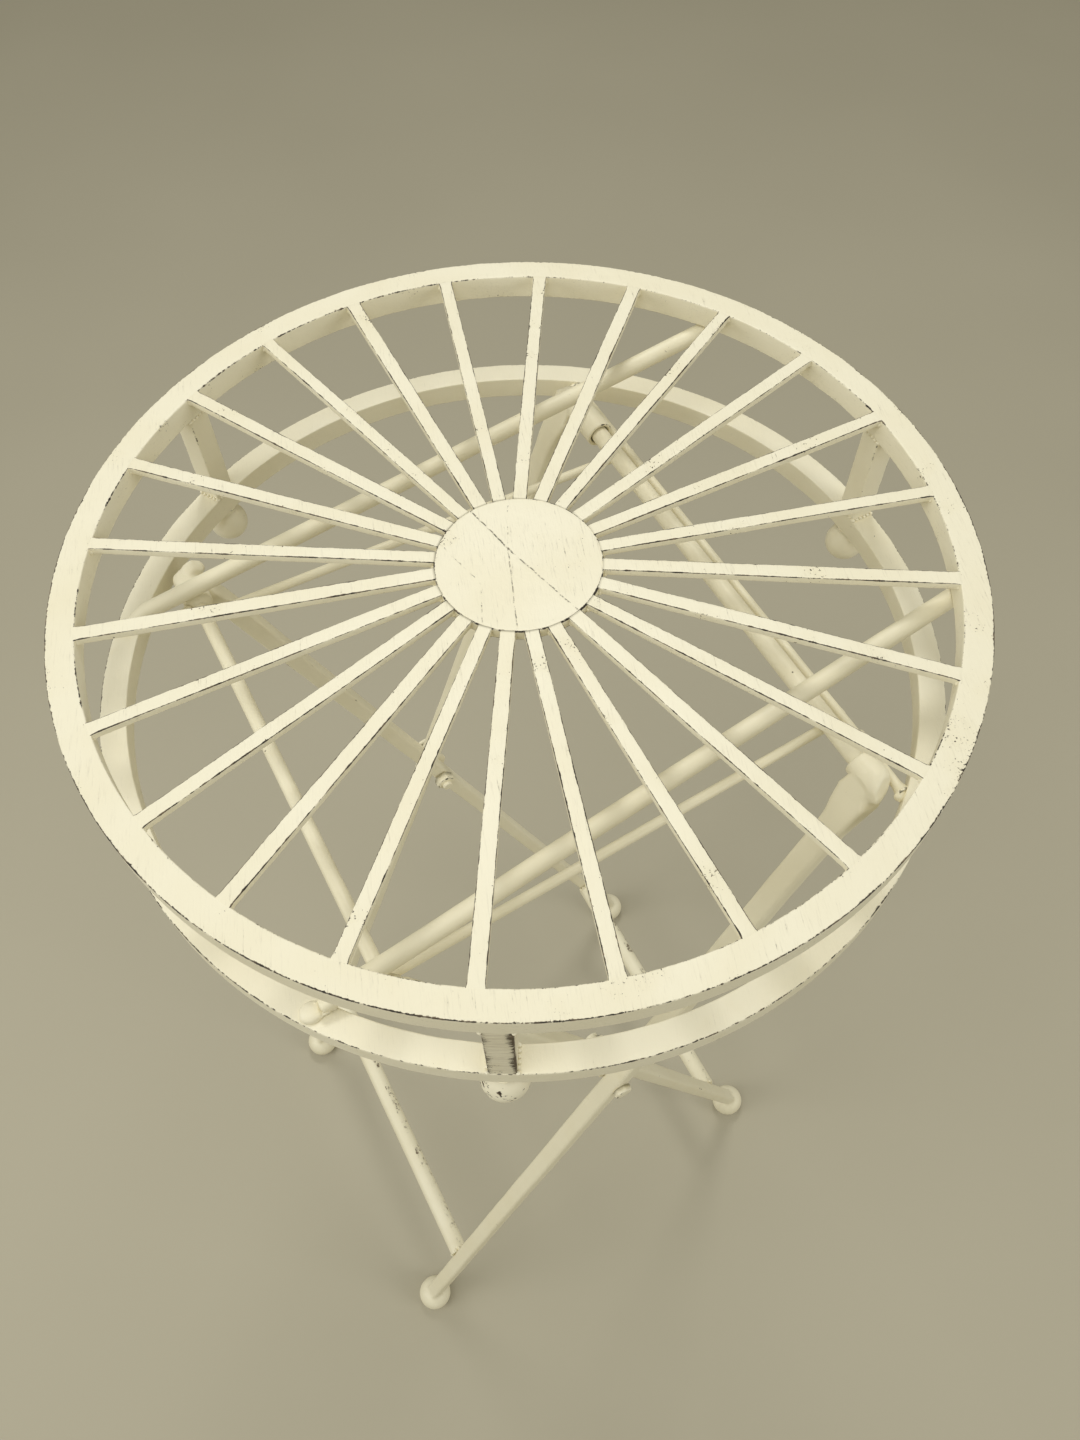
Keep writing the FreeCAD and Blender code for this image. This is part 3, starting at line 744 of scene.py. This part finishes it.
def rails(material, weld_material):
    """The rods that slope from the lower ring at the front to the top ring at the rear."""
    welds = Shape()
    lift = RAIL_RADIUS + 0.05
    start, flat_length, flat_share = 2.5, 9.0, 0.42
    for name, front, rear, sign in RAIL_ENDS:
        low = Vector((-math.sqrt(RING_MIDDLE ** 2 - front ** 2), sign * front, LOWER_TOP + lift))
        high = Vector((math.sqrt(RING_MIDDLE ** 2 - rear ** 2), sign * rear, UPPER_BOTTOM - lift))
        way = (high - low).normalized()
        rod = []
        for centre, across, up, outline in rod_stations(low + way * start, high, RAIL_RADIUS, 96, 1.4,
                                                        wander=0.25, seed=front):
            flat = flat_share * max(0.0, 1 - (centre - low).length / flat_length)
            wide = 1 + 0.35 * flat
            across_scale = 1 - flat if abs(across.z) > 0.7 else wide
            up_scale = 1 - flat if abs(up.z) > 0.7 else wide
            pressed = [(x * across_scale, y * up_scale, w) for x, y, w in outline]
            rod.append((centre - Z * 3.4 * flat, across, up, pressed))
        Shape().sweep(rod).make("rail_rod_" + name, "drum", material, "rod_paint",
                                ("rail_" + name,), (0.12, 14.0))
        for k in range(3):
            for tilt in (1, -1):
                bead = low + way * (1.0 + 2.6 * k) - Z * 2.9 + Y * 1.7 * tilt
                welds.blob(bead, (2.4, 1.3, 0.9), lump=0.3, seed=k + front)
        welds.blob(low + Vector((-0.7, -sign * 0.6, -2.7)), (4.6, 4.2, 2.3), lump=0.2, seed=front, level=3)
        welds.blob(high - way * 1.6 + Z * 2.6, (3.0, 2.6, 1.0), lump=0.3, seed=rear)
    welds.make("rail_weld_beads", "drum", weld_material, "top_paint")


def hinge_rod(material):
    """The rod across the rear, on which the drum turns."""
    reach = Y * HINGE_ROD_REACH
    Shape().sweep(rod_stations(HINGE - reach, HINGE + reach, HINGE_ROD_RADIUS, 60, 1.0)).make(
        "hinge_rod_bar", "drum", material, "rod_paint", ("hinge_rod",), (0.07, 16.0))


def brace_wire(material, welds):
    """The wire beside the hinge rod, welded to the inner walls of the lower ring."""
    reach = math.sqrt(RING_INNER ** 2 - BRACE_X ** 2) - 0.2
    middle = Vector((BRACE_X, 0, BRACE_Z))
    steps = 60
    stations = []
    for k in range(-steps, steps + 1):
        y = reach * k / steps
        flare = max(0.0, 1 - (reach - abs(y)) / 5.0)
        bow = 0.2 * noise.noise(Vector((y / 50.0, 4.2, 0.3)))
        stations.append((middle + Y * y + X * bow, Z, X, round_outline(WIRE_RADIUS + 1.5 * flare * flare)))
    Shape().sweep(stations).make("brace_wire_bar", "drum", material, "rod_paint",
                                 ("brace_wire",), (0.08, 9.0))
    beads = 7
    for sign in (1, -1):
        end = middle + Y * sign * (reach - 0.6)
        for k in range(beads):
            a = math.radians(360 * k / beads)
            bead = end + (X * math.cos(a) + Z * math.sin(a)) * 2.3
            welds.blob(bead, (1.5, 1.2, 1.5), lump=0.45, seed=k * 1.3 + sign)
        bead = end + Y * sign * 0.9 - X * 1.4 + Z * 0.2
        welds.blob(bead, (3.0, 2.6, 2.9), lump=0.3, seed=2.0 + sign, level=3)


def stay_path():
    """A stay's middle line in an upright plane, from its rear end forward and up round the cross rod."""
    steps, bend_steps = 40, 12
    path = [Vector((STAY_LENGTH - STAY_LENGTH * k / steps, 0, -STAY_BEND)) for k in range(steps + 1)]
    for k in range(1, bend_steps + 1):
        t = math.radians(90 * k / bend_steps)
        path.append(Vector((-math.sin(t), 0, -math.cos(t))) * STAY_BEND)
    return path + [Vector((-STAY_BEND, 0, height)) for height in (1.0, 2.2, 2.8, 3.0)]


def stay_wires(material, welds):
    """The two wires from the hinge rod to the cross rod, with their tips turned up in front of it."""
    path = stay_path()
    radii = [WIRE_RADIUS] * (len(path) - 2) + [1.8, 1.3]
    run = HINGE - CROSS
    below_hinge = HINGE_ROD_RADIUS + WIRE_RADIUS + 0.05
    pitch = math.atan2(run.z, run.x) - math.asin((below_hinge - STAY_BEND) / run.length)
    for name, front, sign in STAY_FRONTS:
        yaw = -sign * math.atan2(STAY_TOE_IN, run.x)
        turn = Matrix.Rotation(yaw, 3, "Z") @ Matrix.Rotation(-pitch, 3, "Y")
        base = CROSS + Y * sign * front
        stations = []
        for k, (p, radius) in enumerate(zip(path, radii)):
            before, after = path[max(k - 1, 0)], path[min(k + 1, len(path) - 1)]
            up = Y.cross((after - before).normalized())
            stations.append((base + turn @ p, turn @ Y, turn @ up, round_outline(radius, 16)))
        Shape().sweep(stations).make("stay_wire_" + name, "drum", material, "rod_paint",
                                     ("stay_" + name,), (0.08, 8.0))
        for k, (fore, high) in enumerate(((0.3, -0.6), (1.5, 0.6), (2.4, 1.5))):
            tip = base + turn @ Vector((-STAY_BEND - fore, 0, high))
            welds.blob(tip, (2.5, 1.9, 2.3), lump=0.3, seed=front + k)
        end = base + turn @ Vector((STAY_LENGTH - 1.2, 0, 1.0 - STAY_BEND))
        welds.blob(end, (2.6, 2.8, 2.0), lump=0.4, seed=front)
        welds.blob(end + X * 2.2 + Y * sign * -1.6 + Z * 0.8, (2.0, 2.4, 1.7), lump=0.4, seed=front + 4)
        under_rod = base + turn @ Vector((run.length, 0, 1.7 - STAY_BEND))
        for off in (-2.0, 2.0):
            welds.blob(under_rod + Y * off, (2.1, 1.3, 1.2), lump=0.4, seed=front + off)


def wires(material):
    """The brace and the stays, with the welds that join them to the rings and rods."""
    welds = Shape()
    brace_wire(material, welds)
    stay_wires(material, welds)
    welds.blob(Vector((BRACE_X + 1.6, -91.4, BRACE_Z + 0.6)), (1.7, 3.4, 1.6), lump=0.45, seed=7.7)
    welds.make("wire_weld_beads", "drum", material, "rod_paint")


# The two leg frames

def leg_axes(top, foot):
    """A leg's length, its direction downward, and the direction square to it on its upper side."""
    length = (foot - top).length
    way = (foot - top) / length
    upper = Vector((-way.z, 0, way.x)) if way.x > 0 else Vector((way.z, 0, -way.x))
    return length, way, upper


def leg_tube(shape, origin, outward, axes, seed, flare, rolled, mouth):
    """A square tube, spread and turned over at its top into the eye."""
    length, way, upper = axes
    inner, outer, slant = mouth
    front, back = LEG_LIFT + LEG_DEPTH / 2, LEG_LIFT - LEG_DEPTH / 2
    middle = (outer - slant * 0.5 - inner) / 2
    spread, eye = flare - LEG_WIDTH, inner + outer
    # Rows of the distance from the rod, width, front, back, corner radius and shift outward
    rows = [(length - 2, LEG_WIDTH, front, back, 1.5, 0.0)]
    rows += [(length - 8 - (length - 40) * k / 90, LEG_WIDTH, front, back, 1.5, 0.0) for k in range(91)]
    rows += [(27, LEG_WIDTH + 0.3, front, back, 1.6, 0.0),
             (21, LEG_WIDTH + spread * 0.28, front - 0.05, back - 0.5, 1.8, 0.0),
             (15, LEG_WIDTH + spread * 0.58, min(front, rolled + 0.6), back - 1.6, 1.9, middle * 0.3),
             (9, LEG_WIDTH + spread * 0.84, rolled, back - 3.4, 1.9, middle * 0.5),
             (3, eye * 0.86, rolled - 0.3, -rolled + 0.6, 1.8, middle),
             (-1.0, eye * 0.70, rolled - 0.9, -rolled + 1.4, 1.6, middle)]
    stations = []
    for s, width, fore, aft, radius, shift in rows:
        bend = 0.35 * noise.noise(Vector((s / 45.0, seed, 0.0))) if s > 40 else 0.0
        centre = origin + way * s + outward * (shift + bend) + upper * bend * 0.6
        outline = bar_outline(width, fore - aft, radius, 1.2, middle=(0.0, (fore + aft) / 2))
        stations.append((centre, Y, upper, outline))
    shape.sweep(stations)


def rolled_eye(shape, origin, outward, radius, mouth, seed):
    """A rolled and hammered eye round a rod, with a crumpled mouth cut back at the upper rear."""
    inner, outer, slant = mouth
    sides, rows = 60, 12
    points = []
    for row in range(rows + 1):
        share = row / rows
        pinch = 1.1 * max(0.0, share - 0.8) / 0.2 + 0.5 * max(0.0, 0.12 - share) / 0.12
        for k in range(sides):
            a = 2 * math.pi * k / sides
            out = X * math.cos(a) + Z * math.sin(a)
            rim = outer - slant * out.dot(UPPER_REAR) + 1.1 * noise.noise(out * 2.3 + Z * seed)
            y = -inner + (rim + inner) * share
            dent = 1.5 * max(0.0, noise.noise(out * 1.9 + Y * (y / 6.0) + Z * seed * 3))
            points.append(origin + outward * y + out * (radius - dent - pinch))
    shape.rings(points, [0.3] * len(points), sides)


def hammered_lumps(shape, origin, outward, axes, seed, radius, mouth, low_share):
    """Flat lumps over the eye, lower at its front and rear by a share."""
    _, way, upper = axes
    inner, outer, slant = mouth
    margin = 2.0
    for k in range(18):
        a = math.radians(-95 + 16 * k + 14 * math.sin(seed * 2 + k * 1.9))
        out = upper * math.cos(a) - way * math.sin(a)
        limit = outer - slant * max(0.0, out.dot(UPPER_REAR)) - margin
        shift = -inner + margin + (limit + inner - margin) * (0.5 + 0.5 * math.sin(seed * 1.7 + k * 2.4))
        high = low_share if abs(out.x) > 0.5 else 1.0
        shape.blob(origin + out * (radius - 2.0 + 0.5 * high) + outward * shift, (3.0, 3.2, 2.0),
                   out, Y, 0.7, seed + k * 1.7, 1)


def ball_foot(shape, centre, axes, seed):
    """A ball foot, with weld beads round the tube where it enters the ball."""
    _, way, upper = axes
    angles = [math.radians(180 * k / 20) for k in range(21)]
    sphere = [(max(FOOT_RADIUS * math.sin(a), 0.5), FOOT_RADIUS * math.cos(a), 0) for a in angles]
    shape.turn(centre, Z, X, sphere, 48)
    for k in range(8):
        a = math.radians(45 * k + seed * 20)
        out = Y * math.cos(a) * LEG_WIDTH / 2 + upper * (LEG_LIFT + math.sin(a) * LEG_DEPTH / 2)
        climb = math.sqrt(max(1.0, FOOT_RADIUS ** 2 - out.length_squared))
        shape.blob(centre - way * (climb - 0.3) + out, (1.6, 1.6, 1.3), -way, Y, 0.4, seed * 3 + k)


def leg(frame_name, side, top, foot, y, flare, barrel, bore, mouth, material, seed):
    """A tube with a rolled, hammered eye at the top and a ball foot at the bottom, in one skin.

    mouth is how far the eye reaches inward and outward, and how far it is cut back at the upper rear.
    """
    closed_eye = frame_name == "outer"
    axes = leg_axes(top, foot)
    _, way, upper = axes
    origin, centre = top + Y * y, foot + Y * y
    outward = Y if y > 0 else -Y
    rolled = barrel - 0.12
    shape = Shape()
    leg_tube(shape, origin, outward, axes, seed, flare, rolled, mouth)
    rolled_eye(shape, origin, outward, rolled, mouth, seed)
    hammered_lumps(shape, origin, outward, axes, seed, rolled, mouth, 0.5 if closed_eye else 1.0)
    ball_foot(shape, centre, axes, seed)
    reach = mouth[0] + mouth[1] + 4
    if closed_eye:
        shape.blob(origin + outward * 2.5, (5.3, 5.3, 1.5), outward, X, 0.3, seed)
        bore_end = 1.4
    else:
        shape.blob(origin + X * 3.5 + Z * 4.4 + outward * 1.4, (6.8, 4.6, 5.6), Z, X, 0.45, seed)
        bore_end = reach

    def worn(p):
        """The wear at a place: on the ball, on the eye, or along the tube's corners."""
        if (p - centre).length < FOOT_RADIUS + 0.6:
            return 0.45
        rel = p - origin
        s, n = rel.dot(way), rel.dot(upper) - LEG_LIFT
        if s < 20:
            return 0.42 if s < 4 else 0.3
        corner = math.hypot(abs(abs(rel.y) - LEG_WIDTH / 2), abs(abs(n) - LEG_DEPTH / 2))
        return 0.8 * max(0.0, 1 - max(0.0, corner - 0.7) / 1.3)

    shape.make("%s_leg_tube_%s" % (frame_name, side), frame_name + "_legs", material, "leg_paint",
               ("%s_leg_%s" % (frame_name, side),), (0.40, 13.0),
               (origin - outward * reach, origin + outward * bore_end, bore), worn)


def barrels(name, body, node, centre, radius, bore, spans, material):
    """The short tubes that line the eyes, open at their mouths."""
    shape = Shape()
    for start, end in spans:
        way = Y if end > start else -Y
        reach = abs(end - start)
        wall = [(bore + 0.5, 0.0, 0.3), (radius - 0.55, 0.0, 0.8), (radius - 0.15, 0.25, 0.8),
                (radius, 0.8, 0.3), (radius, reach * 0.5, 0.1), (radius, reach - 0.8, 0.3),
                (radius - 0.15, reach - 0.25, 0.8), (radius - 0.55, reach, 0.8), (bore + 0.5, reach, 0.3),
                (bore, reach - 0.6, 0.1), (bore, 0.6, 0.1)]
        shape.turn(centre + Y * start, way, X, wall, 48, closed=True)
    shape.make(name, body, material, "rod_paint", (node,), (0.10, 6.0))


def stretcher(frame_name, top, foot, y, material, seed):
    """The rod between two legs near the floor, worn along its upper rear, and its weld beads."""
    _, way, upper = leg_axes(top, foot)
    share = (top.z - STRETCHER_HEIGHT) / (top.z - foot.z)
    middle = top + (foot - top) * share + upper * LEG_LIFT
    face = y - LEG_WIDTH / 2
    reach = Y * (face + 0.2)
    plain = rod_stations(middle - reach, middle + reach, STRETCHER_RADIUS, 120, 0.4, 0.2, 0.3, seed)
    rod = []
    for centre, across, up, outline in plain:
        outline = [(x, z, 0.86 if x > 0.8 and z < -0.8 else w) for x, z, w in outline]
        rod.append((centre, across, up, outline))
    name, body = frame_name + "_stretcher", frame_name + "_legs"
    Shape().sweep(rod).make(name + "_rod", body, material, "leg_paint", (name,), (0.16, 18.0))
    beads = Shape()
    count = 14
    for sign in (1, -1):
        for k in range(count):
            a = math.radians(360 * k / count + seed * 7)
            lean = way * math.cos(a) + upper * math.sin(a)
            if abs(lean.dot(upper)) * STRETCHER_RADIUS > LEG_DEPTH / 2 + 0.9:
                continue
            bead = middle + Y * sign * (face - 0.7) + lean * STRETCHER_RADIUS
            beads.blob(bead, (1.7, 1.5, 1.7), Y, lean, 0.4, seed + k * sign)
    beads.make(name + "_rod_weld_beads", body, material, "leg_paint")


def cross_rod(material):
    """The rod through the inner eyes, with a weld collar on their inner sides and beads on its ends."""
    reach = Y * CROSS_ROD_REACH
    Shape().sweep(rod_stations(CROSS - reach, CROSS + reach, CROSS_ROD_RADIUS, 50, 1.0)).make(
        "cross_rod_bar", "inner_legs", material, "rod_paint", ("cross_rod",), (0.06, 14.0))
    beads = Shape()
    collar = [(2.6, -1.9, 0.1), (3.1, -1.2, 0.1), (3.6, -0.75, 0.1), (4.3, -0.5, 0.2), (5.0, -0.15, 0.2),
              (5.2, 0.5, 0.2)]
    count = 9
    for sign, (face, _) in zip((1, -1), INNER_EYE_SPANS):
        beads.turn(CROSS + Y * face, Y * sign, X, collar, 32)
        for k in range(count):
            a = math.radians(360 / count * k + 20 * sign)
            out = X * math.cos(a) + Z * math.sin(a)
            bead = CROSS + Y * sign * (101.0 + 0.5 * math.sin(k * 2.1)) + out * 2.9
            beads.blob(bead, (2.0, 2.0, 1.3), Y, out, 0.6, k + sign, 1)
        beads.blob(CROSS + Y * sign * 101.6, (2.6, 2.6, 1.5), Y, X, 0.5, sign, 1)
    beads.make("cross_rod_weld_beads", "inner_legs", material, "rod_paint")


def hexagon(shape, centre, way, height, radius, flat):
    """A bolt head or nut with its corners turned off on the outer side."""
    side = way.orthogonal().normalized()
    third = way.cross(side)
    levels = [(radius, 0.0, 0.3), (radius, height * 0.78, 0.5), (radius - 0.25, height * 0.9, 1.0),
              (radius - 0.9, height, 0.9), (flat, height, 0.3)]
    sides, half = 48, math.pi / 6
    points, wear = [], []
    for r, h, w in levels:
        limit = r if h < height * 0.5 else r - 0.35
        for k in range(sides):
            a = 2 * math.pi * k / sides
            across = min(r * math.cos(half) / math.cos((a + half) % (2 * half) - half), limit)
            points.append(centre + (side * math.cos(a) + third * math.sin(a)) * across + way * h)
            wear.append(w)
    shape.rings(points, wear, sides)


def fasteners(material):
    """Each pivot has a bolt with its head outside, a washer between the legs and a nut inside."""
    bolts, nuts, washers = Shape(), Shape(), Shape()
    head_face = OUTER_Y + LEG_WIDTH / 2
    washer_face = OUTER_Y - LEG_WIDTH / 2
    nut_face = INNER_Y - LEG_WIDTH / 2 - NUT_GAP
    rim = [(3.2, 0.0, 0.1), (WASHER_RADIUS - 0.3, 0.0, 0.8), (WASHER_RADIUS, 0.35, 0.8),
           (WASHER_RADIUS, WASHER - 0.35, 0.8), (WASHER_RADIUS - 0.3, WASHER, 0.8), (3.2, WASHER, 0.1)]
    for sign in (1, -1):
        way = Y * sign
        hexagon(bolts, PIVOT + way * head_face, way, BOLT_HEAD, BOLT_HEAD_RADIUS, 2.2)
        bolts.sweep(rod_stations(PIVOT + way * (head_face + 0.5), PIVOT + way * (nut_face - NUT - 2.5),
                                 BOLT_RADIUS, 12, 0.7))
        hexagon(nuts, PIVOT + way * nut_face, -way, NUT, NUT_RADIUS, 3.4)
        washers.turn(PIVOT + way * washer_face, -way, X, rim, 40)
    for shape, name, node, rough in ((bolts, "pivot_bolt_bars", "pivot_bolts", 0.06),
                                     (nuts, "pivot_nut_hexes", "pivot_nuts", 0.06),
                                     (washers, "pivot_washer_discs", "pivot_washers", 0.05)):
        shape.make(name, "outer_legs", material, "fastener_paint", (node,), (rough, 4.0))


def leg_frames(leg_paint, rod_paint):
    """Both pairs of legs, the barrels in their eyes, and the rods between them."""
    for side, sign, seed in (("left", 1, 1.3), ("right", -1, 4.1)):
        leg("outer", side, HINGE, OUTER_FOOT, sign * OUTER_Y, 16.2, 6.5, 4.7, (8.0, 4.9, 2.5),
            leg_paint, seed)
        leg("inner", side, CROSS, INNER_FOOT, sign * INNER_Y, 12.8, 6.0, 3.1, (6.3, 4.6, 0.6),
            leg_paint, seed + 2.2)
    barrels("outer_eye_barrels", "outer_legs", "outer_eyes", HINGE, 5.95, 4.25, OUTER_EYE_SPANS, rod_paint)
    barrels("inner_eye_barrels", "inner_legs", "inner_eyes", CROSS, 5.7, 2.95, INNER_EYE_SPANS, rod_paint)
    stretcher("outer", HINGE, OUTER_FOOT, OUTER_Y, leg_paint, 2.0)
    stretcher("inner", CROSS, INNER_FOOT, INNER_Y, leg_paint, 5.0)
    cross_rod(rod_paint)


# The scene

photo_camera()
floor_and_lamps()
rim_paint = paint("rim_cream_paint", 0.86, 0.45, strokes=0.50, grain=1.5, speck_size=0.8)
lower_paint = paint("lower_ring_cream_paint", 0.56, 0.15, strokes=0.20, shift=0.3, grain=1.6)
hub_paint = paint("hub_cream_paint", 0.74, 0.40, strokes=0.65, seams=SEAMS, grain=1.6, speck_size=0.8)
spoke_paints = [paint("spoke_cream_paint_" + tag, chips, 0.48, strokes=0.60, shift=shift, grain=4.0,
                      speck_size=0.9)
                for tag, chips, shift in (("a", 1.06, 0.1), ("b", 0.92, 0.5), ("c", 1.16, 0.9))]
weld_paint = paint("weld_cream_paint", 0.30, 0.20)
post_paint = paint("post_cream_paint", 0.20, 0.10)
# The front post's paint is worn at its edges and smeared brown, partly as painted shade.
front_post_paint = paint("front_post_worn_and_shaded_paint", 0.90, 0.35, brushed_and_shaded=0.55, bare=FRONT_POST_BARE)
ball_paint = paint("ball_cream_paint", 0.60, 0.50, speck_size=1.5, speck_wear=0.35, flat=2.0)
# The rod, leg and fastener paints take the cream tinted as in shade: painted shade.
rod_paint = paint("rod_shade_tinted_cream_paint", 0.35, 0.12, tone=SHADE_TINTED_CREAM)
leg_paint = paint("leg_shade_tinted_cream_paint", 0.56, 0.10, tone=SHADE_TINTED_CREAM, grain=5.0, bare=LEG_BARE)
fastener_paint = paint("fastener_shade_tinted_cream_paint", 0.36, 0.25, tone=SHADE_TINTED_CREAM)

ring("top_ring_bar", "top_ring", UPPER_BOTTOM, rim_paint, 0.38, (1.12, 0.94, 0.75, 0.95))
ring("lower_ring_bar", "lower_ring", LOWER_BOTTOM, lower_paint, 0.22, (1.08, 0.55, 0.45, 0.85))
hub(hub_paint)
spokes(spoke_paints)
top_welds(weld_paint)
posts(post_paint, front_post_paint, ball_paint)
rails(rod_paint, weld_paint)
hinge_rod(rod_paint)
wires(rod_paint)
leg_frames(leg_paint, rod_paint)
fasteners(fastener_paint)
for node in frame["nodes"].values():
    node.data.materials.clear()
    node.data.materials.append(rod_paint)

bpy.context.view_layer.update()
